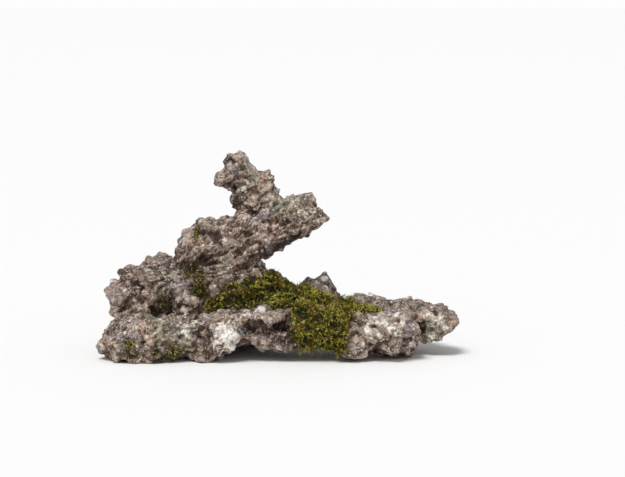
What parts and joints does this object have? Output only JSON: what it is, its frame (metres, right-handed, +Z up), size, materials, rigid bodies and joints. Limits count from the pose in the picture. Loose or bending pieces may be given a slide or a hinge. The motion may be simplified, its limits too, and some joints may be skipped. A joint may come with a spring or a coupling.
{
  "type": "mossy rock",
  "caption": "Craggy display stone with a low base, a flat shelf and a leaning tower that ends in an overhanging arm, with moss growing over its middle.",
  "frame": {"origin": "middle of the bottom of the whole part's box, on the surface that the stone stands on", "axes": "+Z up; +X along the stone's long side, from the foot below the hump to the end of the shelf; -Y is the front, where the arch and the moss show"},
  "size_m": [0.4506, 0.1784, 0.253],
  "materials": {
    "stone": "rough, weathered, with pale lichen crusts",
    "moss": "matt, of fine upright shoots"
  },
  "bodies": {
    "root": {"stone": "stone", "moss_carpet": "moss", "moss_collar": "moss", "moss_tuft_hump": "moss", "moss_tuft_foot": "moss", "moss_tuft_toe": "moss", "moss_tuft_tower": "moss"}
  },
  "joints": []
}
